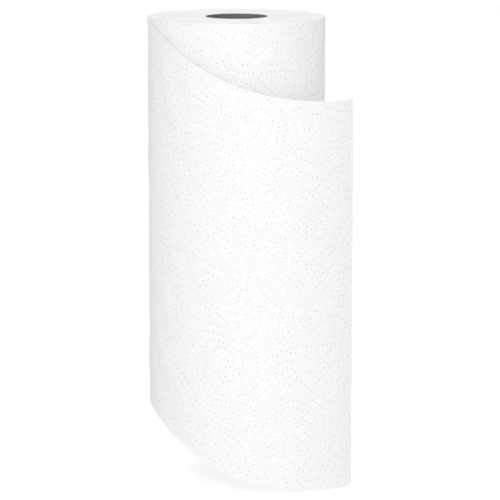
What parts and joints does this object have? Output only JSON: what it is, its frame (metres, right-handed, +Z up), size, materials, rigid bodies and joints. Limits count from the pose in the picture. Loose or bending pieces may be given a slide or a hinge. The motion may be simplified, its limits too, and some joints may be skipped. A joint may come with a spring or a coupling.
{
  "type": "paper towel roll",
  "caption": "Embossed paper towel roll wound on a cardboard core, with its first sheet pulled loose and curling round the front.",
  "frame": {"origin": "centre of the core's bore at the roll's lower end, which is where a holder's spindle meets it", "axes": "+Z up along the roll's axis; the loose sheet leaves the roll at -X, passes round the front at -Y and ends at +X"},
  "size_m": [0.1463, 0.1404, 0.3334],
  "materials": {
    "tissue": "soft embossed matte",
    "core_board": "matte"
  },
  "bodies": {
    "root": {"towel_web": "tissue", "core_tube": "core_board"}
  },
  "joints": []
}
